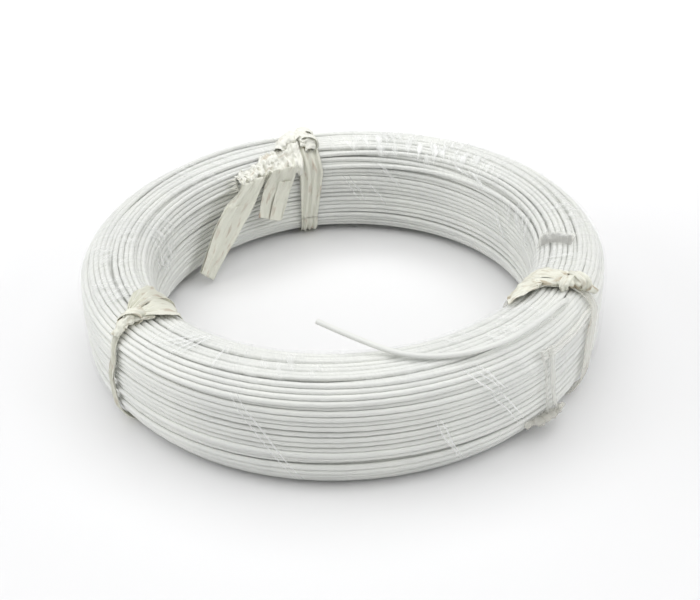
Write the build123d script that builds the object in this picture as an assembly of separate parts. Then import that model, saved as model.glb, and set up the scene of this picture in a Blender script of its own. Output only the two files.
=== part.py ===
from build123d import *
import math
import os

os.makedirs("parts", exist_ok=True)

# A coil of insulated wire with no spool, lying flat on its side of shortest extent.
# Millimetres. The origin is on the coil's axis, on the surface that it stands on.

# Wire: a solid copper conductor in a plastic jacket.
wire_diameter = 2.0
conductor_diameter = 0.8

# Bundle of turns: a rounded rectangle turned about the axis.
coil_outer_radius = 100.0
coil_height = 42.5
bundle_width = 27.8
corner_radius = 10.5
coil_inner_radius = coil_outer_radius - bundle_width
bundle_middle_radius = coil_outer_radius - bundle_width / 2

# Ties: flat plastic strip, pulled into the turns so that it lies flush with them.
groove_depth = 0.8
left_tie_azimuth = -142.5
rear_tie_azimuth = 100.7
right_tie_azimuth = -33.0
left_band_width = 4.6
rear_band_width = 10.0
right_band_width = 6.0
right_band_skew = 27.0
strip_thickness = 0.5

# Stretch film: it ends this many degrees to each side of a tie.
film_thickness = 0.15
film_gap = {"left": 9.0, "rear": 8.0, "right": 9.0}

# The rear tie's loose tails: strip folded double, each with a rounded root that it swings on.
tail_thickness = 0.8
tail_root_radius = 0.8


def bundle_section(inset):
    """The bundle's cross-section, shrunk evenly by inset or grown if it is negative."""
    outline = RectangleRounded(
        bundle_width - 2 * inset, coil_height - 2 * inset, corner_radius - inset
    )
    return Plane.XZ * Pos(bundle_middle_radius, coil_height / 2) * outline


def skin(inner_inset, outer_inset, azimuth_from=0.0, azimuth_to=360.0):
    """A skin round the bundle between two insets, over a range of azimuth."""
    ring = bundle_section(outer_inset) - bundle_section(inner_inset)
    return Rot(0, 0, azimuth_from) * revolve(ring, Axis.Z, azimuth_to - azimuth_from)


def block(azimuth, width, radius_range, height_range, skew=0.0):
    """An upright block across the bundle, which cuts a strip out of a skin."""
    near, far = radius_range
    low, high = height_range
    box = Box(far - near, width, high - low)
    middle = Pos((near + far) / 2, 0, (low + high) / 2)
    return Rot(0, 0, azimuth) * middle * Rot(0, 0, skew) * box


def tie_band(azimuth, width, skew=0.0):
    """A strip pulled tight round the bundle, flush with the turns beside it."""
    whole_bundle = (coil_inner_radius - 10, coil_outer_radius + 10)
    across = block(azimuth, width, whole_bundle, (-5, coil_height + 5), skew)
    return skin(groove_depth, 0) & across


def tie_knot(azimuth, radius, length, thickness, skew=0.0):
    """A pulled knot on top of the turns: a wrap round a tapering twist of strip."""
    wrap = Rot(0, 90, 0) * Torus(thickness * 0.62, thickness * 0.4)
    twist = Rot(0, 90, 0) * Cylinder(thickness * 0.45, length * 0.5)
    flare = Pos(length * 0.38, 0, 0) * Rot(0, 90, 0) * Cone(
        thickness * 0.45, thickness * 0.8, length * 0.3
    )
    other_flare = mirror(flare, Plane.YZ)
    knot = wrap + twist + flare + other_flare
    under = Pos(0, 0, -thickness) * Box(3 * length, 3 * length, 2 * thickness)
    place = Rot(0, 0, azimuth) * Pos(radius, 0, coil_height) * Rot(0, 0, skew)
    return place * (Pos(0, 0, thickness * 0.55) * knot - under)


def film_stretch(azimuth_from, azimuth_to):
    return skin(film_thickness, 0, azimuth_from, azimuth_to)


def hanging_tail(top_width, drop, drift):
    """A strip that hangs from a rounded level root at the origin, drifts sideways as it falls,
    and ends in a cut square to its length."""
    lean = math.atan2(drift, drop)
    foot = top_width * math.cos(lean)
    across, down = foot / 2 * math.cos(lean), foot / 2 * math.sin(lean)
    outline = Polyline(
        (-top_width / 2, 0),
        (top_width / 2, 0),
        (drift + across, -drop + down),
        (drift - across, -drop - down),
        close=True,
    )
    blade = extrude(Plane.YZ * make_face(outline), tail_thickness / 2, both=True)
    root = Rot(90, 0, 0) * Cylinder(tail_root_radius, top_width)
    return blade + root


def wire_radii(route):
    """The largest bend at each corner of a route that its two runs have room for."""
    radii = []
    for before, corner, after in zip(route, route[1:], route[2:]):
        arriving = Vector(*corner) - Vector(*before)
        leaving = Vector(*after) - Vector(*corner)
        half_turn = math.radians(arriving.get_angle(leaving)) / 2
        shorter_run = min(arriving.length, leaving.length)
        radii.append(0.45 * shorter_run / math.tan(half_turn))
    return radii


def wire_along(route, diameter):
    """A round wire whose straight runs are joined by tangent arcs."""
    radii = wire_radii(route)
    line = FilletPolyline(*route, radius=radii)
    section = Plane(origin=line @ 0, z_dir=line % 0) * Circle(diameter / 2)
    tube = sweep(section, path=line)
    exact = line.length * math.pi * diameter**2 / 4
    print(
        f"wire of {line.length:.1f} mm, radii",
        [round(r, 1) for r in radii],
        f"volume {tube.volume / exact:.4f} of section times length",
    )
    return tube


parts = {}

# The three stretches of film, one between each pair of ties.
parts["stretch_film_front"] = film_stretch(
    left_tie_azimuth + film_gap["left"], right_tie_azimuth - film_gap["right"]
)
parts["stretch_film_right"] = film_stretch(
    right_tie_azimuth + film_gap["right"], rear_tie_azimuth - film_gap["rear"]
)
parts["stretch_film_left"] = film_stretch(
    rear_tie_azimuth + film_gap["rear"], 360 + left_tie_azimuth - film_gap["left"]
)

# The three loops.
parts["left_tie_band"] = tie_band(left_tie_azimuth, left_band_width)
parts["rear_tie_band"] = tie_band(rear_tie_azimuth, rear_band_width)
parts["right_tie_band"] = tie_band(right_tie_azimuth, right_band_width, right_band_skew)

# The turns, with the ties pulled into them and the film wrapped round them.
turns = revolve(bundle_section(0), Axis.Z)
for name, piece in parts.items():
    turns -= piece
parts["wound_turns"] = turns

# Left tie: knot, and the end of the strip fanned out flat over the inner rim.
parts["left_tie_knot"] = tie_knot(left_tie_azimuth, 89.5, 12.0, 3.2)
left_fan = block(left_tie_azimuth - 2.3, 21.0, (66.0, 82.5), (25.0, 50.0))
parts["left_tie_flat_end"] = skin(0, -strip_thickness) & left_fan

# Rear tie: knot, the pleated bunch along the inner rim and the fray at its end.
parts["rear_tie_knot"] = tie_knot(rear_tie_azimuth, 82.0, 11.0, 3.6)
bunch_thickness = 2.4
bunch_from = rear_tie_azimuth + 3.5
bunch_to = rear_tie_azimuth + 35.0
fray_to = bunch_to + 5.0
rim_region = Plane.XZ * Pos(74.0, 42.0) * Rectangle(13.0, 14.0)


def rim_bunch(azimuth_from, azimuth_to, thickness):
    """A bunched strip folded over the inner rim."""
    section = (bundle_section(-thickness) - bundle_section(0)) & rim_region
    return Rot(0, 0, azimuth_from) * revolve(section, Axis.Z, azimuth_to - azimuth_from)


parts["rear_tie_bunch"] = rim_bunch(bunch_from, bunch_to, bunch_thickness)
parts["rear_tie_fray"] = rim_bunch(bunch_to, fray_to, bunch_thickness / 2)

# Rear tie's two tails. Each hangs just inside the bunch from a level root that it swings on.
def place_tail(tail, azimuth, root):
    """Put a tail's root near the inner wall, with the tail's face square to an azimuth."""
    tilt_in = 2.5
    return Rot(0, 0, azimuth) * Pos(*root) * Rot(0, tilt_in, 0) * tail


parts["rear_tie_long_tail"] = place_tail(
    hanging_tail(12.0, 30.0, 31.0), rear_tie_azimuth + 35.8, (65.4, -14.0, 35.0)
)
parts["rear_tie_short_tail"] = place_tail(
    hanging_tail(10.0, 20.5, 8.4), rear_tie_azimuth + 13.3, (67.3, -3.5, 37.5)
)

# Right tie: knot, and a thin tail along the outer rim, down the face and frayed at the floor.
parts["right_tie_knot"] = tie_knot(right_tie_azimuth + 2.5, 87.0, 13.0, 3.4, right_band_skew)
tail_drop_azimuth = right_tie_azimuth - 14.0
tail_drop = block(tail_drop_azimuth, 5.5, (93.0, 106.0), (1.5, 50.0))
outer_rim = Plane.XZ * Pos(98.5, 39.0) * Rectangle(7.0, 7.0)
rim_strip = (bundle_section(-strip_thickness) - bundle_section(0)) & outer_rim
rim_tail = Rot(0, 0, tail_drop_azimuth) * revolve(rim_strip, Axis.Z, 15.0)
down_tail = skin(0, -strip_thickness, tail_drop_azimuth - 4, tail_drop_azimuth + 4) & tail_drop
floor_fray = skin(0, -1.8) & block(tail_drop_azimuth + 3.5, 14.0, (95.0, 106.0), (2.5, 10.5))
parts["right_tie_tail"] = down_tail + rim_tail + floor_fray

# A scrap of strip stuck over the inner rim.
scrap = block(-9.0, 8.0, (68.0, 88.0), (26.0, 50.0))
parts["strip_scrap"] = skin(0, -0.3) & scrap

# The wire's outer end: it lies along the turns, then lifts off over the opening.
lying_route = [
    (74.5, -56.0, 43.6),
    (64.8, -67.6, 43.6),
    (51.0, -79.3, 43.6),
    (35.5, -85.2, 43.6),
    (21.0, -84.9, 43.7),
]
lift_route = [
    (19.5, -84.6, 43.8),
    (4.9, -76.9, 45.3),
    (-8.7, -68.0, 47.3),
]
parts["free_end_lying"] = wire_along(lying_route, wire_diameter)
lifting_tube = wire_along(lift_route, wire_diameter) + Pos(*lift_route[0]) * Sphere(wire_diameter / 2)
conductor = wire_along(lift_route, conductor_diameter)
parts["free_end_jacket"] = lifting_tube - conductor
parts["free_end_conductor"] = conductor

for name, piece in parts.items():
    solids = piece.solids()
    print(f"{name}: {len(solids)} solid(s), {piece.volume:.1f} mm3")
    export_step(piece, f"parts/{name}.step")
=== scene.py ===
import math

import bpy
import numpy as np
from mathutils import Matrix, Vector


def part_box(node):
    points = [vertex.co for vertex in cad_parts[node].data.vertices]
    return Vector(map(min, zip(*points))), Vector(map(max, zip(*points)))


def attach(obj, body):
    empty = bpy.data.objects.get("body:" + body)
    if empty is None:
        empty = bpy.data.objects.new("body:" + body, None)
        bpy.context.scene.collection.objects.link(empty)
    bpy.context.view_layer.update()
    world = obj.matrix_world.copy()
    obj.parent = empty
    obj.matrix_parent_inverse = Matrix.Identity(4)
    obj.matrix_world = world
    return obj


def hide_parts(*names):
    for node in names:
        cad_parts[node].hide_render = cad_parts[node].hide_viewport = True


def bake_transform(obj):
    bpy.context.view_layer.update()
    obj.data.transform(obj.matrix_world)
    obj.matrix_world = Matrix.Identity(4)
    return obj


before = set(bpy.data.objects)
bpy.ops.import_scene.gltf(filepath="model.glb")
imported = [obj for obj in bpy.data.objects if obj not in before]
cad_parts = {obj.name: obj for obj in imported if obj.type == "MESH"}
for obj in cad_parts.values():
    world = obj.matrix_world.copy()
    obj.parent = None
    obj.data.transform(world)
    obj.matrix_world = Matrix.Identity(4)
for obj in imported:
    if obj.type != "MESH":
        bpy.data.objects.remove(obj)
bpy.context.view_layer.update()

MM = 0.001
rng = np.random.default_rng(7)

# Sizes. The coil's height comes from the frame, and the rest are the ones that the CAD is made to.
turns_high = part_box("wound_turns")[1]
coil_height = turns_high[2]
outer_radius = 100.0 * MM
bundle_width = 27.8 * MM
corner_radius = 10.5 * MM
inner_radius = outer_radius - bundle_width
middle_radius = outer_radius - bundle_width / 2
wire_radius = 1.0 * MM
conductor_radius = 0.4 * MM

# Azimuths of the ties, in degrees, and how deep they pull into the turns.
LEFT, REAR, RIGHT = -142.5, 100.7, -33.0
groove_depth = 0.8 * MM


# ---- camera ----------------------------------------------------------------

def make_camera():
    elevation, distance, roll = math.radians(33.1), 0.4377, math.radians(-2.3)
    target = Vector((2.4 * MM, 0, 10.8 * MM))
    away = Vector((0, -math.cos(elevation), math.sin(elevation)))
    camera = bpy.data.objects.new("camera", bpy.data.cameras.new("camera"))
    bpy.context.scene.collection.objects.link(camera)
    look = (-away).to_track_quat("-Z", "Y").to_matrix().to_4x4()
    camera.matrix_world = Matrix.Translation(target + away * distance) @ look @ Matrix.Rotation(roll, 4, "Z")
    camera.data.sensor_width = 36.0
    camera.data.lens = 56.6
    camera.data.clip_start = 0.01
    bpy.context.scene.camera = camera


# ---- the bundle's surface --------------------------------------------------

wall_run = coil_height - 2 * corner_radius
top_run = bundle_width - 2 * corner_radius
corner_run = math.pi / 2 * corner_radius
section_length = 2 * (wall_run + top_run) + 4 * corner_run

# Distances round the section, from the foot of the inner wall up and over the top.
INNER_TOP = wall_run
TOP_START = INNER_TOP + corner_run
TOP_END = TOP_START + top_run
OUTER_TOP = TOP_END + corner_run
OUTER_FOOT = OUTER_TOP + wall_run
BOTTOM_START = OUTER_FOOT + corner_run
BOTTOM_END = BOTTOM_START + top_run


def section_point(s):
    """Radius, height and outward normal at distances s round the bundle's section."""
    s = np.mod(np.asarray(s, float), section_length)
    near, far = inner_radius + corner_radius, outer_radius - corner_radius
    low, high = corner_radius, coil_height - corner_radius
    starts = (0, INNER_TOP, TOP_START, TOP_END, OUTER_TOP, OUTER_FOOT, BOTTOM_START, BOTTOM_END)
    step = [s - start for start in starts]
    bend = [x / corner_radius for x in step]
    core_r = [near, near, near + step[2], far, far, far, far - step[6], near]
    core_z = [low + step[0], high, high, high, high - step[4], low, low, low]
    angle = [math.pi, math.pi - bend[1], math.pi / 2, math.pi / 2 - bend[3], 0, -bend[5], -math.pi / 2,
             -math.pi / 2 - bend[7]]
    piece = np.searchsorted(starts, s, side="right") - 1

    def pick(options):
        return np.choose(piece, [np.broadcast_to(option, s.shape) for option in options])

    core_r, core_z, angle = pick(core_r), pick(core_z), pick(angle)
    normal_r, normal_z = np.cos(angle), np.sin(angle)
    return core_r + corner_radius * normal_r, core_z + corner_radius * normal_z, normal_r, normal_z


def on_bundle(azimuth, s, lift):
    """Points on the bundle's surface, lifted off it. Azimuth is in degrees."""
    r, z, normal_r, normal_z = section_point(s)
    turn = np.radians(azimuth)
    reach = r + normal_r * lift
    return np.stack(np.broadcast_arrays(reach * np.cos(turn), reach * np.sin(turn), z + normal_z * lift), -1)


def smooth_noise(shape, spans, strength=1.0):
    """Random numbers smoothed over so many samples along each axis, with that spread."""
    values = rng.standard_normal(shape)
    for axis, span in enumerate(spans):
        if span <= 0:
            continue
        reach = int(3 * span)
        kernel = np.exp(-0.5 * (np.arange(-reach, reach + 1) / span) ** 2)
        pad = [(reach, reach) if a == axis else (0, 0) for a in range(values.ndim)]
        padded = np.pad(values, pad, mode="wrap")
        values = np.apply_along_axis(lambda row: np.convolve(row, kernel, mode="valid"), axis, padded)
    return strength * values / values.std()


# ---- winding the wire ------------------------------------------------------

POINTS_PER_TURN = 24
layer_count = 15
slot_pitch = 2.11 * MM
cord_count = 3

# How far the turns stray from neat slots, and how unevenly the outermost ones sit, less so on top.
slot_jitter = 0.75 * MM
surface_jitter = 0.55 * MM
top_share = 0.35
film_room = 0.1 * MM

# How the turns settle: rounds, and the share of each fault that one round puts right.
settle_rounds = 110
overlap_share = 0.42
kink_share = 0.3
way_out_share = 0.2

# The raised turn: its azimuth, its place across the bundle, how high it stands and over how many points.
raised_azimuth = REAR + 18
raised_place = 3.4 * MM
raised_height = 1.7 * MM
raised_spread = 1.5


def neat_slots():
    """Where the turns would lie in a perfectly neat bundle, layer on layer from the inside out."""
    half_width = bundle_width / 2 - wire_radius
    half_height = coil_height / 2 - wire_radius
    corner = corner_radius - wire_radius
    slots = []
    for layer in range(layer_count):
        x = half_width * (2 * layer / (layer_count - 1) - 1)
        cut = max(0.0, abs(x) - (half_width - corner))
        reach = half_height - (corner - math.sqrt(corner**2 - cut**2))
        heights = np.linspace(-reach, reach, round(2 * reach / slot_pitch) + 1)
        if (layer_count - 1 - layer) % 2:
            heights = heights[::-1]
        slots += [(x, z) for z in heights]
    return np.array(slots)


def push_inside(points, inset):
    """Move section points that are outside the bundle's outline, shrunk by inset, back on to it."""
    core = np.array([bundle_width / 2 - corner_radius, coil_height / 2 - corner_radius])
    beyond = np.abs(points) - core
    outside = np.maximum(beyond, 0)
    length = np.maximum(np.linalg.norm(outside, axis=1), 1e-9)
    excess = np.maximum(length - (corner_radius - inset), 0)
    points -= np.sign(points) * outside * (excess / length)[:, None]


def tie_pinch(azimuth):
    """How far the ties pull the turns in at an azimuth in degrees."""
    pinch = np.zeros_like(azimuth)
    for tie, spread in ((LEFT, 4.0), (REAR, 6.0), (RIGHT, 5.0)):
        off = (azimuth - tie + 180) % 360 - 180
        pinch = np.maximum(pinch, np.exp(-0.5 * (off / spread) ** 2))
    return groove_depth * pinch


def lift_strand(points, azimuth):
    """Raise one turn on top a little proud of the others, for a short way beside the rear tie."""
    beside = np.abs((azimuth - raised_azimuth + 180) % 360 - 180) < 180 / POINTS_PER_TURN
    off = np.hypot(points[:, 0] - raised_place, points[:, 1] - coil_height / 2 + wire_radius)
    proud = np.argmin(np.where(beside, off, 1))
    arch = np.exp(-0.5 * ((np.arange(len(points)) - proud) / raised_spread) ** 2)
    points[:, 1] += raised_height * arch


def wind():
    """The wire's route, turn by turn: slots, disturbed and then settled against each other."""
    slots = neat_slots()
    turns = len(slots) - 1
    count = turns * POINTS_PER_TURN + 1
    along = np.arange(count) / POINTS_PER_TURN
    x = np.interp(along, np.arange(len(slots)), slots[:, 0])
    z = np.interp(along, np.arange(len(slots)), slots[:, 1])
    points = np.stack([x, z], 1)
    points += smooth_noise((count, 2), (7, 0), slot_jitter)
    azimuth = RIGHT - 360 * (along - turns)
    shyness = np.abs(smooth_noise((count,), (9,), surface_jitter))
    shyness[points[:, 1] > coil_height / 2 - 5 * MM] *= top_share
    inset = wire_radius + film_room + tie_pinch(azimuth) + shyness
    last = slice(count - POINTS_PER_TURN // 4, count)
    way_out = np.array([91.5 * MM - middle_radius, 40.6 * MM - coil_height / 2])
    for _ in range(settle_rounds):
        for station in range(POINTS_PER_TURN):
            here = points[station::POINTS_PER_TURN]
            gap = here[:, None] - here[None]
            distance = np.linalg.norm(gap, axis=2) + 1e-9
            overlap = np.clip(2 * wire_radius - distance, 0, None)
            np.fill_diagonal(overlap, 0)
            here += overlap_share * (gap * (overlap / distance)[..., None]).sum(1)
        points[1:-1] += kink_share * ((points[2:] + points[:-2]) / 2 - points[1:-1])
        points[last] += way_out_share * (way_out - points[last])
        push_inside(points, inset)
    lift_strand(points, azimuth)
    reach = (middle_radius + points[:, 0]) / math.cos(math.pi / POINTS_PER_TURN)
    turn = np.radians(azimuth)
    route = np.stack([reach * np.cos(turn), reach * np.sin(turn), coil_height / 2 + points[:, 1]], 1)
    return route


# ---- making pieces ---------------------------------------------------------

def link(name, data):
    piece = bpy.data.objects.new(name, data)
    bpy.context.scene.collection.objects.link(piece)
    return piece


def smooth_curve(name, route, radius, resolution=3, bevel=2):
    """A NURBS curve with the route's points as its control points."""
    curve = bpy.data.curves.new(name, "CURVE")
    curve.dimensions = "3D"
    spline = curve.splines.new("NURBS")
    spline.points.add(len(route) - 1)
    for point, place in zip(spline.points, route):
        point.co = (*place, 1)
    spline.order_u = 3
    spline.use_endpoint_u = True
    curve.resolution_u = resolution
    curve.bevel_depth = radius
    curve.bevel_resolution = bevel
    curve.use_fill_caps = radius > 0
    return link(name, curve)


def line_points(route, resolution=12):
    """Points read from the smooth line of a route."""
    line = smooth_curve("line", route, 0, resolution)
    mesh = bpy.data.meshes.new_from_object(line)
    points = [tuple(v.co) for v in mesh.vertices]
    bpy.data.meshes.remove(mesh)
    bpy.data.objects.remove(line)
    return points


def finish_piece(piece, material, body="coil", thickness=0.0):
    """Give a piece its material, a thickness if it is a sheet, and the body that it rides on."""
    piece.data.materials.append(material)
    if thickness:
        solid = piece.modifiers.new("thickness", "SOLIDIFY")
        solid.thickness = thickness
        solid.offset = 0
    if body:
        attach(piece, body)
    return piece


class Sheets:
    """Grids of points gathered into one smooth mesh, with distances over the surface as UVs."""

    def __init__(self):
        self.vertices = []
        self.faces = []
        self.uvs = []

    def grid(self, points, closed=False):
        rows, columns = points.shape[:2]
        first = len(self.vertices)
        self.vertices += [tuple(p) for p in points.reshape(-1, 3)]
        across = np.linalg.norm(np.diff(points, axis=1), axis=2).mean(0)
        along = np.linalg.norm(np.diff(points, axis=0), axis=2).mean(1)
        u = np.concatenate([[0], np.cumsum(across)])[None]
        v = np.concatenate([[0], np.cumsum(along)])[:, None]
        self.uvs += [tuple(p) for p in np.stack(np.broadcast_arrays(u, v), -1).reshape(-1, 2)]
        for i in range(rows if closed else rows - 1):
            for j in range(columns - 1):
                a, b = i * columns + j, (i + 1) % rows * columns + j
                self.faces.append([first + k for k in (a, a + 1, b + 1, b)])

    def build(self, name):
        mesh = bpy.data.meshes.new(name)
        mesh.from_pydata(self.vertices, [], self.faces)
        layer = mesh.uv_layers.new(name="surface")
        for loop in mesh.loops:
            layer.data[loop.index].uv = self.uvs[loop.vertex_index]
        mesh.shade_smooth()
        mesh.update()
        return link(name, mesh)


# ---- materials -------------------------------------------------------------

def new_material(name, colour, roughness, alpha=1.0):
    material = bpy.data.materials.new(name)
    material.use_nodes = True
    shader = material.node_tree.nodes["Principled BSDF"]
    shader.inputs["Base Color"].default_value = (*colour, 1)
    shader.inputs["Roughness"].default_value = roughness
    shader.inputs["Alpha"].default_value = alpha
    return material, material.node_tree.nodes, material.node_tree.links, shader


def wire_plastic():
    """Extruded white plastic, faintly uneven in colour and gloss along the wire."""
    material, nodes, links, shader = new_material("wire_jacket", (0.80, 0.81, 0.775), 0.36)
    place = nodes.new("ShaderNodeTexCoord")
    outputs = []
    for scale in (40, 1400):
        noise = nodes.new("ShaderNodeTexNoise")
        noise.inputs["Scale"].default_value = scale
        noise.inputs["Detail"].default_value = 3
        links.new(place.outputs["Object"], noise.inputs["Vector"])
        outputs.append(noise.outputs["Fac"])
    cloud, grain = outputs
    ramp = nodes.new("ShaderNodeValToRGB")
    ramp.color_ramp.elements[0].position = 0.3
    ramp.color_ramp.elements[0].color = (0.765, 0.775, 0.75, 1)
    ramp.color_ramp.elements[1].position = 0.7
    ramp.color_ramp.elements[1].color = (0.83, 0.84, 0.80, 1)
    links.new(cloud, ramp.inputs["Fac"])
    links.new(ramp.outputs["Color"], shader.inputs["Base Color"])
    links.new(between(nodes, links, cloud, 0.3, 0.7, 0.42, 0.30), shader.inputs["Roughness"])
    add_bump(nodes, links, shader, grain, 0.12, 0.05 * MM)
    return material


def bare_copper():
    material, _, _, shader = new_material("copper", (0.80, 0.38, 0.22), 0.3)
    shader.inputs["Metallic"].default_value = 1.0
    return material


def streaks(nodes, links, scale, angle=0.0, shift=0.0, detail=3.0):
    """Noise drawn out along a mesh's surface coordinates, once they are turned by an angle."""
    place = nodes.new("ShaderNodeUVMap")
    place.uv_map = "surface"
    spin = nodes.new("ShaderNodeMapping")
    spin.vector_type = "TEXTURE"
    spin.inputs["Rotation"].default_value = (0, 0, math.radians(angle))
    spin.inputs["Location"].default_value = (shift, shift, 0)
    spin.inputs["Scale"].default_value = (1 / scale[0], 1 / scale[1], 1)
    noise = nodes.new("ShaderNodeTexNoise")
    noise.inputs["Scale"].default_value = 1.0
    noise.inputs["Detail"].default_value = detail
    links.new(place.outputs["UV"], spin.inputs["Vector"])
    links.new(spin.outputs["Vector"], noise.inputs["Vector"])
    return noise.outputs["Fac"]


def between(nodes, links, source, low, high, to_low=0.0, to_high=1.0):
    """A value mapped smoothly from one range to another."""
    node = nodes.new("ShaderNodeMapRange")
    node.interpolation_type = "SMOOTHSTEP"
    for name, value in (("From Min", low), ("From Max", high), ("To Min", to_low), ("To Max", to_high)):
        node.inputs[name].default_value = value
    links.new(source, node.inputs["Value"])
    return node.outputs["Result"]


def combine(nodes, links, operation, first, second):
    node = nodes.new("ShaderNodeMath")
    node.operation = operation
    links.new(first, node.inputs[0])
    links.new(second, node.inputs[1])
    return node.outputs["Value"]


def add_bump(nodes, links, shader, height, strength, distance):
    bump = nodes.new("ShaderNodeBump")
    bump.inputs["Strength"].default_value = strength
    bump.inputs["Distance"].default_value = distance
    links.new(height, bump.inputs["Height"])
    links.new(bump.outputs["Normal"], shader.inputs["Normal"])


def tie_plastic(name, colour, stain, alpha=1.0, stained=0.38):
    """Split film strip: wrinkled along its length, with brown stains over more of it as stained rises."""
    material, nodes, links, shader = new_material(name, colour, 0.36, alpha)
    ramp = nodes.new("ShaderNodeValToRGB")
    ramp.color_ramp.elements[0].position = stained - 0.1
    ramp.color_ramp.elements[0].color = (*stain, 1)
    ramp.color_ramp.elements[1].position = stained + 0.06
    ramp.color_ramp.elements[1].color = (*colour, 1)
    links.new(streaks(nodes, links, (420, 110), shift=2.0), ramp.inputs["Fac"])
    links.new(ramp.outputs["Color"], shader.inputs["Base Color"])
    add_bump(nodes, links, shader, streaks(nodes, links, (900, 130)), 0.9, 0.8 * MM)
    return material


def film_plastic():
    """Clear film: almost unseen, hazy where the mesh's per-point value says so: crumpled where the film is
    gathered, and whitish painted light over the top of the bundle that lifts the shade between the turns.
    """
    material, nodes, links, shader = new_material("stretch_film", (0.95, 0.96, 0.95), 0.25)
    haze_and_top_light = nodes.new("ShaderNodeAttribute")
    haze_and_top_light.attribute_name = "haze_and_top_light"
    fine = between(nodes, links, streaks(nodes, links, (110, 330), 25, 0.6, 3.0), 0.38, 0.66, 0.22, 0.75)
    broad = between(nodes, links, streaks(nodes, links, (60, 45), -20, 2.6, 2.0), 0.35, 0.65, 0.45, 1.0)
    # This value is partly painted light: besides the gathered film, it whitens the top of the bundle to lift
    # the shade between the turns.
    gathered = combine(nodes, links, "MULTIPLY", haze_and_top_light.outputs["Fac"], fine)
    gathered = combine(nodes, links, "MULTIPLY", gathered, broad)
    links.new(between(nodes, links, gathered, 0, 1, 0.03, 1.0), shader.inputs["Alpha"])
    add_bump(nodes, links, shader, fine, 0.25, 0.3 * MM)
    return material


# ---- the wire --------------------------------------------------------------

make_camera()
jacket = wire_plastic()
copper = bare_copper()
strip = tie_plastic("tie_strip", (0.81, 0.81, 0.71), (0.52, 0.42, 0.33))
bright_strip = tie_plastic("bunched_strip", (0.89, 0.89, 0.82), (0.70, 0.64, 0.54))
stained_strip = tie_plastic("stained_strip", (0.85, 0.85, 0.75), (0.50, 0.43, 0.31), stained=0.45)
# Near-white, whiter than the cream tie strip, so that the right tie's tail shows as bright lines over the
# turns: painted highlight.
thin_highlight_strip = tie_plastic("thin_highlight_strip", (0.95, 0.95, 0.90), (0.80, 0.78, 0.68), 0.3)
veil_strip = tie_plastic("veil_strip", (0.88, 0.87, 0.80), (0.55, 0.45, 0.36), 0.3, stained=0.34)
scrap_strip = tie_plastic("scrap_strip", (0.98, 0.98, 0.92), (0.92, 0.91, 0.83), 0.13)
film = film_plastic()
# Half-opaque near-white for the film's creases: painted highlight streaks along the folds.
film_fold_highlight = new_material("film_fold_highlight", (0.94, 0.95, 0.94), 0.2, 0.5)[0]

lying_route = [
    (74.5, -56.0, 43.6),
    (64.8, -67.6, 43.6),
    (51.0, -79.3, 43.6),
    (35.5, -85.2, 43.6),
    (21.0, -84.9, 43.7),
]
lift_route = [
    (19.5, -84.6, 43.8),
    (4.9, -76.9, 45.3),
    (-8.7, -68.0, 47.3),
]


def make_wire():
    route = wind()
    steps = np.linalg.norm(np.diff(route, axis=0), axis=1) * math.cos(math.pi / POINTS_PER_TURN)
    run = np.concatenate([[0], np.cumsum(steps)])
    print(f"turns {len(route) / POINTS_PER_TURN:.1f}, wound length {run[-1]:.2f} m")
    cuts = np.searchsorted(run, np.linspace(0, run[-1], cord_count + 1))
    for number, (first, last) in enumerate(zip(cuts, cuts[1:])):
        piece = smooth_curve(f"turns_{number + 1}", route[first : last + 1], wire_radius)
        finish_piece(piece, jacket)
        if number == 0:
            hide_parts("wound_turns")
    return route[-2:]


def make_loose_end(coming_from):
    """The wire's outer end, from under the right tie to its cut tip."""
    route = [tuple(p) for p in coming_from[-1:]]
    route += [tuple(c * MM for c in p) for p in lying_route[:-1] + lift_route]
    path = line_points(route)
    tube = smooth_curve("tube", route, wire_radius, resolution=12, bevel=3)
    mesh = bpy.data.meshes.new_from_object(tube)
    bpy.data.objects.remove(tube)
    piece = link("loose_end", mesh)
    mesh.materials.clear()
    finish_piece(piece, jacket, body=None)
    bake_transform(piece)
    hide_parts("free_end_lying", "free_end_jacket")
    return path


def make_conductor(path):
    """The cut face of the conductor, just proud of the jacket."""
    end, before = Vector(path[-1]), Vector(path[-2])
    forward = (end - before).normalized()
    route = [end - forward * 1.0 * MM, end - forward * 0.4 * MM, end + forward * 0.12 * MM]
    piece = smooth_curve("conductor_end", route, conductor_radius)
    finish_piece(piece, copper, body="wire_end")
    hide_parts("free_end_conductor")


coming_from = make_wire()
loose_path = make_loose_end(coming_from)
make_conductor(loose_path)


# ---- the tie strips --------------------------------------------------------

def profile(places, stops):
    """Values along a loop round the section, drawn through stops of (distance, value)."""
    distances, values = zip(*stops)
    return np.interp(places, distances, values, period=section_length)


def folds(rows, columns, depth, count=3.0):
    """Heights of the folds along a strip: sharp ridges that wander as it goes."""
    across = np.linspace(0, 1, columns)[None]
    wander = smooth_noise((rows,), (10,), 0.22)[:, None]
    ridge = 2 * np.abs((across * count + wander) % 1 - 0.5)
    fine = smooth_noise((rows, columns), (5, 1), 0.14)
    return np.broadcast_to(depth, (rows,))[:, None] * (ridge + fine)


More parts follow.
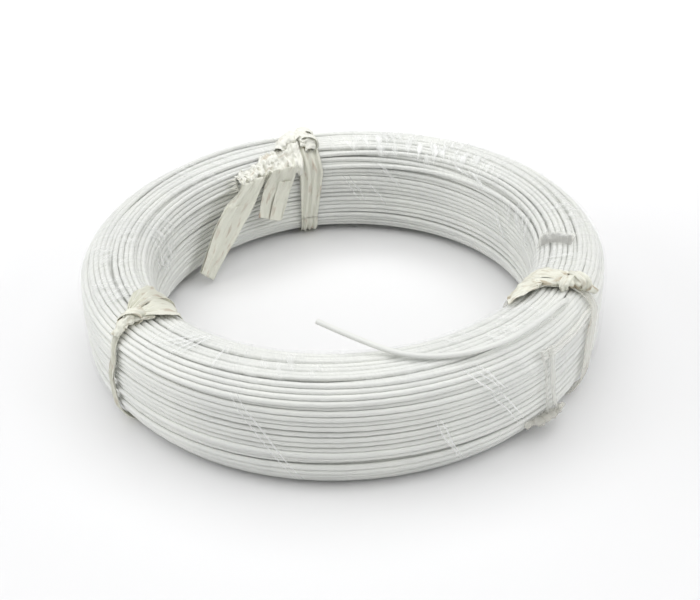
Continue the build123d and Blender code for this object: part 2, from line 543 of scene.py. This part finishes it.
def laid_strip(sheets, azimuth, s, width, depth, lift=0.1 * MM, count=3.0, columns=25, closed=False):
    """A strip laid on the bundle along a route of azimuths and distances round the section."""
    radius = section_point(s)[0]
    gradient = (lambda v: (np.roll(v, -1) - np.roll(v, 1))) if closed else np.gradient
    step_u = radius * np.radians(gradient(azimuth))
    step_s = gradient(np.unwrap(s / section_length * 2 * np.pi)) * section_length / (2 * np.pi)
    if closed:
        step_s = np.abs(step_s) % section_length
    size = np.hypot(step_u, step_s)
    offset = np.linspace(-0.5, 0.5, columns)[None] * np.broadcast_to(width, s.shape)[:, None]
    spread_azimuth = azimuth[:, None] - np.degrees(offset * (step_s / size / radius)[:, None])
    spread_s = s[:, None] + offset * (step_u / size)[:, None]
    height = np.broadcast_to(lift, s.shape)[:, None] + folds(len(s), columns, depth, count)
    points = on_bundle(spread_azimuth, spread_s, height)
    points[..., 2] = np.maximum(points[..., 2], 0.05 * MM)
    sheets.grid(points, closed=closed)


def laid_fan(sheets, start, edge, lift, depth, count):
    """A strip gathered at start, (azimuth, distance, width), and spread out flat to an edge between
    two points of (azimuth, distance)."""
    rows, columns = 40, 41
    azimuth, place, width = start
    t = np.linspace(0, 1, rows)[:, None]
    c = np.linspace(0, 1, columns)[None]
    from_azimuth = azimuth + np.degrees(width * (c - 0.5) / outer_radius)
    to_azimuth = edge[0][0] + (edge[1][0] - edge[0][0]) * c
    to_place = (edge[0][1] + (edge[1][1] - edge[0][1]) * c) * MM
    spread = t**0.75
    height = (lift * (1.4 - t) + np.sin(np.pi * t) * 0.6) * MM + folds(rows, columns, depth * MM, count)
    sheets.grid(on_bundle(from_azimuth + (to_azimuth - from_azimuth) * spread,
                          place * MM + (to_place - place * MM) * t, height))


def loop_strip(name, azimuth_stops, width_stops, depth_stops, count=3.0, material=strip):
    """A strip all the way round the section, in the groove that it has pulled."""
    s = np.linspace(0, section_length, 150, endpoint=False)
    sheets = Sheets()
    laid_strip(sheets, profile(s, azimuth_stops), s, profile(s, width_stops), profile(s, depth_stops),
               lift=-0.25 * MM, count=count, closed=True)
    piece = finish_piece(sheets.build(name), material, thickness=0.12 * MM)
    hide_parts(name)


def lumpy_tube(sheets, centres, radii, flatness=0.75, roughness=0.25, sides=20):
    """A crumpled rope of strip along a line of points."""
    centres = np.asarray(centres, float)
    rows = len(centres)
    along = np.gradient(centres, axis=0)
    along /= np.linalg.norm(along, axis=1)[:, None]
    side = np.cross([0, 0, 1.0], along)
    side /= np.linalg.norm(side, axis=1)[:, None]
    up = np.cross(along, side)
    angle = np.linspace(0, 2 * np.pi, sides)[None]
    lumps = 1 + smooth_noise((rows, sides), (1.5, 1.2), roughness)
    twist = 0.18 * np.abs(np.sin(2.5 * angle + np.linspace(0, 9, rows)[:, None]))
    size = np.broadcast_to(radii, (rows,))[:, None] * (lumps + twist)
    size[:, -1] = size[:, 0]
    points = (centres[:, None] + side[:, None] * (size * np.cos(angle))[..., None]
              + up[:, None] * (flatness * size * np.sin(angle))[..., None])
    sheets.grid(points)


def make_knot(name, material, ropes, wraps, fans=()):
    """A pulled knot on top of the turns: crumpled ropes, each through stops of (azimuth, radius, height
    above the turns, thickness), with loose wraps of strip round the first at some of its stops, and
    fans of the strip's end."""
    sheets = Sheets()
    for fan in fans:
        laid_fan(sheets, *fan)
    for stops in ropes:
        turn = np.radians([stop[0] for stop in stops])
        radius, rise, size = np.array([stop[1:] for stop in stops]).T * MM
        line = np.stack([radius * np.cos(turn), radius * np.sin(turn), coil_height + rise], 1)
        places = np.arange(len(stops))
        t = np.linspace(0, len(stops) - 1, 12 * len(stops))
        centres = np.stack([np.interp(t, places, line[:, k]) for k in range(3)], 1)
        lumpy_tube(sheets, centres, np.interp(t, places, size) / 2, roughness=0.2)
        if stops is ropes[0]:
            first_line, first_size = line, size
    ahead = (first_line[-1] - first_line[0]) / np.linalg.norm(first_line[-1] - first_line[0])
    aside = np.cross([0, 0, 1.0], ahead)
    rows, columns = 34, 14
    phi = np.linspace(0, 2 * np.pi, rows)[:, None]
    for stop, lean, width in wraps:
        ring = 0.55 + folds(rows, columns, 0.16, 2.0)
        ring += smooth_noise((rows, columns), (4, 4), 0.06)
        ring *= first_size[stop]
        ring[-1] = ring[0]
        reach = (np.linspace(-0.5, 0.5, columns)[None] * width * MM * (1 + 0.3 * np.sin(phi))
                 + lean * ring * np.cos(phi))
        points = (first_line[stop] + reach[..., None] * ahead + (ring * np.cos(phi))[..., None] * aside
                  + (0.8 * ring * np.sin(phi))[..., None] * np.array([0, 0, 1]))
        points[..., 2] = np.maximum(points[..., 2], coil_height - 1.2 * MM)
        sheets.grid(points)
    piece = finish_piece(sheets.build(name), material, thickness=0.1 * MM)
    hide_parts(name)


def slivers(sheets, centre, across, down, width, count, length):
    """The frayed end of a strip: thin slivers that taper to points."""
    for k in range(count):
        start = centre + across * width * ((k + 0.5) / count - 0.5)
        reach = length * rng.uniform(0.4, 1.0)
        drift = across * rng.uniform(-0.35, 0.35) * reach
        t = np.linspace(0, 1, 5)[:, None, None]
        half = across * width / count * 0.55 * (1 - 0.9 * t)
        line = start + down * reach * t + drift * t**2
        sheets.grid(np.concatenate([line - half, line + half], axis=1))


def make_left_tie():
    loop_strip(
        "left_tie_band",
        [(0, LEFT), (INNER_TOP, LEFT), (TOP_START, LEFT + 1), (TOP_END, LEFT), (OUTER_TOP, LEFT + 1),
         (OUTER_TOP + wall_run / 2, LEFT - 2), (OUTER_FOOT, LEFT - 2), (BOTTOM_START, LEFT - 1)],
        [(0, 6 * MM), (TOP_START, 4 * MM), (TOP_END, 3.2 * MM), (OUTER_FOOT, 3.2 * MM),
         (BOTTOM_START, 6 * MM)],
        [(0, 0.5 * MM), (TOP_START, 0.5 * MM), (TOP_END, 1.1 * MM), (OUTER_TOP, 1.2 * MM),
         (OUTER_FOOT, 0.7 * MM)],
    )
    make_knot(
        "left_tie_knot", stained_strip,
        [[(LEFT - 2, 84, 0.7, 2.6), (LEFT - 0.5, 88, 1.3, 3.8), (LEFT + 0.5, 91.5, 1.3, 4.4),
          (LEFT + 0.7, 95.5, 0.2, 3.2), (LEFT + 1, 98.5, -2.5, 2.8)],
         [(LEFT + 2.5, 84, 0.4, 1.8), (LEFT + 1.5, 89, 1.0, 2.2), (LEFT + 0.8, 94, 0.9, 2.2)]],
        [(1, 0.5, 2.6), (2, -0.7, 2.6)],
    )
    sheets = Sheets()
    knot_end = (LEFT, 46.0, 3.0 * MM)
    laid_fan(sheets, knot_end, ((LEFT - 12.0, 32.5), (LEFT - 4.0, 25.0)), 1.5, 1.2, 3.5)
    laid_fan(sheets, knot_end, ((LEFT - 4.6, 26.0), (LEFT + 6.0, 32.5)), 0.8, 0.9, 3.0)
    piece = finish_piece(sheets.build("left_tie_flat_end"), strip, thickness=0.12 * MM)
    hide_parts("left_tie_flat_end")


def make_rear_tie():
    loop_strip(
        "rear_tie_band",
        [(0, REAR + 0.8), (INNER_TOP, REAR - 0.8), (TOP_START, REAR), (BOTTOM_START, REAR + 0.8)],
        [(0, 7.5 * MM), (INNER_TOP, 10.5 * MM), (TOP_START, 9 * MM), (OUTER_TOP, 8 * MM),
         (BOTTOM_START, 8 * MM)],
        [(0, 1.0 * MM), (INNER_TOP, 1.3 * MM), (OUTER_TOP, 0.6 * MM)],
        count=3.5,
    )
    make_knot(
        "rear_tie_knot", bright_strip,
        [[(REAR - 1.5, 75, -0.6, 3.4), (REAR - 1.5, 78.5, 1.6, 5.0), (REAR + 1.0, 83, 1.9, 5.0),
          (REAR - 0.7, 87, 1.8, 5.4), (REAR, 92, 0.3, 3.0)],
         [(REAR + 0.5, 89, 1.4, 4.6), (REAR + 4.0, 85, 1.9, 5.0), (REAR + 7.0, 80.5, 1.5, 4.6),
          (REAR + 9.5, 77, 0.4, 3.8)]],
        [(1, 0.8, 2.6), (2, -0.6, 2.4), (3, 0.5, 3.2)],
    )
    sheets = Sheets()
    rows, columns = 130, 44
    bunch_end = 27.0
    t = np.linspace(0, 1, rows)[:, None]
    share = np.linspace(0, 1, columns)[None]
    foot = INNER_TOP + (1.5 - 2.5 * t) * MM + smooth_noise((rows, 1), (2.5, 0), 0.7 * MM)
    head = INNER_TOP + (19.0 - 12.5 * t**0.7) * MM + smooth_noise((rows, 1), (2.5, 0), 0.7 * MM)
    s = foot + (head - foot) * share
    roll = 2.8 * MM * np.exp(-(((s - foot) / MM - 3.0) / 2.2) ** 2)
    second = 1.4 * MM * np.exp(-(((s - head) / MM + 4.0) / 2.0) ** 2)
    creases = np.abs(smooth_noise((rows, columns), (2.3, 2.6)))
    creases += np.abs(smooth_noise((rows, columns), (1.6, 7)))
    crumple = 0.7 * MM - 0.5 * MM * creases
    lift = np.maximum(0.25 * MM, 0.9 * MM + (roll + second) * (1 - 0.35 * t) + crumple)
    sheets.grid(on_bundle(REAR + 2.0 + (bunch_end - 2.0) * t, s, lift))
    piece = finish_piece(sheets.build("rear_tie_bunch"), bright_strip, thickness=0.12 * MM)
    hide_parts("rear_tie_bunch")
    sheets = Sheets()
    centre = on_bundle(REAR + bunch_end, INNER_TOP + 3 * MM, 1.2 * MM)
    back = on_bundle(REAR + bunch_end - 2, INNER_TOP + 3 * MM, 1.2 * MM)
    down = (centre - back) / np.linalg.norm(centre - back)
    up = on_bundle(REAR + bunch_end, INNER_TOP + 4 * MM, 1.2 * MM) - centre
    slivers(sheets, centre, up / np.linalg.norm(up), down, 6 * MM, 9, 7 * MM)
    piece = finish_piece(sheets.build("rear_tie_fray"), bright_strip, thickness=0.08 * MM)
    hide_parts("rear_tie_fray")


def make_tail(name, azimuth, root, drop, drift, bow, widths, fold):
    """A loose tail of strip that hangs from its root inside the coil. It falls by drop
    and goes sideways by drift, bowed by bow, and a second, narrower layer lies to one side by fold."""
    turn = math.radians(azimuth)
    outward = np.array([math.cos(turn), math.sin(turn), 0])
    sideways = np.array([-math.sin(turn), math.cos(turn), 0])
    start = root[0] * MM * outward + root[1] * MM * sideways + np.array([0, 0, root[2] * MM])
    rows, columns = 46, 29
    t = np.linspace(-0.08, 1, rows)[:, None]
    arch = np.sin(np.pi * np.clip(t, 0, 1))
    centre = (start + (t * drift - bow * arch) * MM * sideways - t * np.array([0, 0, drop * MM])
              - outward * (1.5 * t - 1.2 * arch) * MM)
    lean = math.atan2(drift, drop) * np.clip(t / 0.5, 0, 1)
    across = sideways * np.cos(lean) + np.array([0, 0, 1]) * np.sin(lean)
    width = np.interp(t[:, 0], np.linspace(0, 1, len(widths)), widths) * MM
    sheets = Sheets()
    depth = 0.9 * (1.5 - t[:, 0]) * MM
    for shift, share, begin, ahead in ((0, 1.0, 0, 0.0), (fold, 0.45, 12, 1.0)):
        offset = (np.linspace(-0.5, 0.5, columns)[None] * share + shift) * width[:, None]
        bulge = ahead * MM + folds(rows, columns, depth, 2.4) * share
        points = centre[:, None] + across[:, None] * offset[..., None] - outward * bulge[..., None]
        points = points[begin:]
        points[..., 2] = np.maximum(points[..., 2], 0.15 * MM)
        sheets.grid(points)
    piece = sheets.build(name)
    finish_piece(piece, strip, body=None, thickness=0.12 * MM)
    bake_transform(piece)
    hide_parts(name)


def make_right_tie():
    loop_strip(
        "right_tie_band",
        [(0, RIGHT - 2), (INNER_TOP, RIGHT - 2.5), (TOP_START - 6 * MM, RIGHT - 4), (TOP_START, RIGHT + 1),
         (TOP_END, RIGHT + 3.5), (OUTER_TOP, RIGHT + 4), (BOTTOM_START, RIGHT)],
        [(0, 7 * MM), (INNER_TOP, 8 * MM), (TOP_START - 7 * MM, 6 * MM), (TOP_START, 3.5 * MM),
         (OUTER_TOP - 6 * MM, 4 * MM), (OUTER_TOP + 4 * MM, 9.5 * MM), (OUTER_FOOT, 8 * MM),
         (BOTTOM_START, 7 * MM)],
        [(0, 0.6 * MM), (INNER_TOP, 0.7 * MM), (TOP_START, 1.3 * MM), (OUTER_TOP, 0.6 * MM)],
        material=veil_strip,
    )
    rope_end = (RIGHT - 1.0, 38.0, 3.0 * MM)
    make_knot(
        "right_tie_knot", stained_strip,
        [[(RIGHT - 2.6, 73.0, -6.0, 2.0), (RIGHT - 1.6, 76, -1.6, 2.8), (RIGHT + 0.8, 80, 0.7, 2.8),
          (RIGHT + 1.8, 86.0, 0.9, 2.8), (RIGHT + 3.2, 90.5, 1.6, 4.6), (RIGHT + 4.4, 93.5, 1.4, 5.4),
          (RIGHT + 6.6, 98.8, -3.6, 2.6)],
         [(RIGHT + 2.4, 73.2, -5.6, 2.0), (RIGHT + 4.4, 76, -1.4, 2.4), (RIGHT + 6.6, 80, 0.7, 2.4),
          (RIGHT + 7.2, 85.0, 0.7, 2.2), (RIGHT + 5.4, 90.5, 1.5, 3.0)]],
        [(4, 0.7, 3.2), (5, -0.6, 3.4), (2, 0.5, 2.4)],
        [(rope_end, ((RIGHT - 11.5, 34.0), (RIGHT - 4.5, 27.0)), 0.8, 0.9, 3.0),
         (rope_end, ((RIGHT - 4.0, 27.5), (RIGHT + 1.5, 27.5)), 1.1, 0.6, 2.5),
         ((RIGHT + 5.0, 44.0, 2.5 * MM), ((RIGHT + 1.0, 27.0), (RIGHT + 7.5, 31.0)), 0.7, 0.7, 2.0)],
    )
    sheets = Sheets()
    drop = np.linspace(OUTER_TOP - 5 * MM, OUTER_FOOT + 2 * MM, 50)
    lean = RIGHT - 15.5 + 2.8 * np.linspace(0, 1, 50)
    for side, width in ((-1.3, 0.9), (0.4, 0.7), (1.2, 1.5)):
        edge = lean + side + smooth_noise((50,), (5,), 0.12)
        laid_strip(sheets, edge, drop, width * MM, 0.5 * MM, 0.5 * MM, 1.0, 7)
    rim = OUTER_TOP - 3 * MM + smooth_noise((30,), (4,), 0.4 * MM)
    laid_strip(sheets, np.linspace(RIGHT - 17, RIGHT + 2, 30), rim, 3.0 * MM, 0.6 * MM, 0.3 * MM, 2.0, 15)
    # The tail's strips are in the near-white material: painted highlight.
    piece = finish_piece(sheets.build("right_tie_tail"), thin_highlight_strip, thickness=0.1 * MM)
    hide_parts("right_tie_tail")
    sheets = Sheets()
    rows = 60
    for lift, share in ((0.6, 1.0), (0.9, 0.7)):
        azimuth = RIGHT - 14.2 + 6.3 * share * np.linspace(-1, 1, rows)
        place = OUTER_FOOT + (2.2 + 0.8 * np.linspace(-1, 1, rows)) * MM
        place += smooth_noise((rows,), (4,), 0.7 * MM)
        size = (1.6 * np.sin(np.linspace(0.25, 2.95, rows)) ** 0.5) * MM
        lumpy_tube(sheets, on_bundle(azimuth, place, lift * MM), size, 0.45, 0.2)
    finish_piece(sheets.build("right_tie_crumple"), veil_strip, thickness=0.1 * MM)


def make_scrap():
    sheets = Sheets()
    s = np.linspace(INNER_TOP + 8 * MM, TOP_END - 2 * MM, 40)
    for _ in range(2):
        laid_strip(sheets, np.linspace(RIGHT + 26, RIGHT + 23.5, 40), s, 8.5 * MM, 0.5 * MM, 0.25 * MM, 2.5)
    piece = finish_piece(sheets.build("strip_scrap"), scrap_strip, thickness=0.1 * MM)
    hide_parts("strip_scrap")


make_left_tie()
make_rear_tie()
make_tail("rear_tie_long_tail", REAR + 35.8, (65.4, -14.0, 35.0), 30.0, 31.0, -0.5,
          (16, 15.5, 14.5, 12.5, 10), 0.26)
make_tail("rear_tie_short_tail", REAR + 13.3, (67.3, -3.5, 37.5), 20.5, 8.4, 0.0,
          (12.5, 13, 11.5), -0.16)
make_right_tie()
make_scrap()


# ---- film ------------------------------------------------------------------

# Where the film is gathered into haze: (azimuth, distance round the section, spread of each, strength).
gathers = (
    (RIGHT + 18, 37, 15, 11, 0.9),
    (RIGHT + 44, 24, 16, 9, 0.9),
    (RIGHT - 14, 38, 9, 8, 0.7),
    (RIGHT - 18, 58, 10, 16, 0.55),
    (RIGHT - 3, 66, 9, 16, 0.6),
    (LEFT - 14, 45, 7, 18, 0.5),
    (LEFT - 50, 20, 15, 15, 0.9),
    (LEFT + 13, 44, 7, 9, 0.5),
    (REAR + 36, 33, 10, 7, 0.7),
    (REAR - 24, 18, 15, 10, 0.5),
    (REAR - 38, 37, 34, 10, 1.3),
)

# A thinner whitish layer all the way round the top: painted light that lifts the shade in the gaps between
# the turns there.
painted_top_light_strength = 0.62
painted_top_light_middle = 41
painted_top_light_spread = 13


def haze_and_top_light_at(azimuth, s):
    """How hazy the film is at azimuths in degrees and distances in metres: 0 is clear, 1 or more hazy.
    Gathered film, with painted light over the top added in.
    """
    # Painted light: a whitish layer over the top that lifts the shade between the turns.
    painted_top_light = painted_top_light_strength * np.exp(-(((s / MM - painted_top_light_middle) / painted_top_light_spread) ** 2))
    haze_and_top_light = np.broadcast_to(painted_top_light, np.broadcast_shapes(azimuth.shape, s.shape))
    for middle, place, turn_spread, spread, strength in gathers:
        off = (azimuth - middle + 180) % 360 - 180
        far = (off / turn_spread) ** 2 + ((s / MM - place) / spread) ** 2
        haze_and_top_light = np.maximum(haze_and_top_light, strength * np.exp(-far))
    return haze_and_top_light


def make_film(name, azimuth_from, azimuth_to):
    """A stretch of film right round the bundle, slightly wrinkled."""
    rows = int((azimuth_to - azimuth_from) / 0.8)
    columns = 110
    azimuth = np.linspace(azimuth_from, azimuth_to, rows)[:, None]
    s = np.linspace(0, section_length, columns)[None]
    # This holds the gathered film's haziness and the painted light over the top together.
    gathered = haze_and_top_light_at(azimuth, s)
    height = 0.4 * MM + smooth_noise((rows, columns), (4, 2), 0.1 * MM) * (1 + 2 * gathered)
    height[:, -1] = height[:, 0]
    points = on_bundle(azimuth, s, np.maximum(height, 0.1 * MM))
    points[..., 2] = np.maximum(points[..., 2], 0.05 * MM)
    sheets = Sheets()
    sheets.grid(points)
    piece = sheets.build(name)
    haze_and_top_light = piece.data.attributes.new("haze_and_top_light", "FLOAT", "POINT")
    haze_and_top_light.data.foreach_set("value", gathered.ravel())
    finish_piece(piece, film)
    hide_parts(name)


def make_creases():
    """Narrow folds that stand up where the film was pulled tight, side by side, in half-opaque near-white
    that paints the highlights along them.
    Each runs from one azimuth and distance round the section to another."""
    sheets = Sheets()
    for azimuths, places, shifts in (
        ((76, 68), (26, 16), (0, 1.0)),
        ((87, 81), (20, 7), (0, 1.6)),
        ((80, 73), (17, 6), (0,)),
        ((28, 20), (22, 10), (0, 1.4)),
        ((-112, -100), (54, 86), (0, 1.3)),
        ((-124, -127), (36, 50), (0, 1.6)),
        ((-117.5, -116.5), (38, 50), (0,)),
        ((-132, -125), (49, 36), (0, 2.0)),
        ((-160.5, -155.5), (50, 39), (0, 1.0)),
        ((-67, -61), (51, 63), (0, 1.0, 2.2)),
        ((-62, -55), (62, 80), (0, 1.1)),
        ((-74, -69), (66, 85), (0, 1.0)),
        ((49, 42), (30, 28), (0,)),
        ((42, 33), (30, 26), (0, 1.5)),
    ):
        for shift in shifts:
            azimuth = np.linspace(*azimuths, 40) + shift + smooth_noise((40,), (6,), 0.12)
            place = np.linspace(*places, 40) * MM + smooth_noise((40,), (6,), 0.15 * MM)
            width = (0.15 + rng.uniform(0.35, 0.7) * np.sin(np.linspace(0, np.pi, 40))) * MM
            laid_strip(sheets, azimuth, place, width, 0.2 * MM, 0.6 * MM, 1.0, 7)
    finish_piece(sheets.build("film_creases"), film_fold_highlight)


make_creases()
make_film("stretch_film_front", LEFT + 9, RIGHT - 9)
make_film("stretch_film_right", RIGHT + 9, REAR - 8)
make_film("stretch_film_left", REAR + 8, 360 + LEFT - 9)


# ---- floor and light -------------------------------------------------------

def make_stage():
    mesh = bpy.data.meshes.new("floor")
    half = 20.0
    corners = [(-half, -half, 0), (half, -half, 0), (half, half, 0), (-half, half, 0)]
    mesh.from_pydata(corners, [], [(0, 1, 2, 3)])
    floor = link("floor", mesh)
    floor.location.z = -0.05 * MM
    mesh.materials.append(new_material("floor", (0.83, 0.83, 0.835), 0.6)[0])
    world = bpy.data.worlds.new("studio")
    world.use_nodes = True
    world.node_tree.nodes["Background"].inputs["Color"].default_value = (1, 1, 1, 1)
    world.node_tree.nodes["Background"].inputs["Strength"].default_value = 0.18
    bpy.context.scene.world = world
    sun = bpy.data.lights.new("overhead", "SUN")
    sun.energy = 2.3
    sun.angle = math.radians(88)
    link("overhead", sun)
    for name, place, aim, size, power, spread in (
        ("back", (0.0, 0.8, 0.7), (0, 0.8, 0), 0.8, 3.0, 84),
        ("left", (-1.1, -0.05, 0.55), (0, 0, 0), 0.8, 5.0, 180),
        ("right", (1.0, -0.35, 0.55), (0, 0, 0), 0.8, 3.6, 180),
    ):
        light = bpy.data.lights.new(name, "AREA")
        light.size = size
        light.energy = power
        light.spread = math.radians(spread)
        lamp = link(name, light)
        lamp.location = place
        lamp.rotation_euler = (Vector(aim) - Vector(place)).to_track_quat("-Z", "Y").to_euler()
    bpy.context.scene.view_settings.view_transform = "Standard"


make_stage()
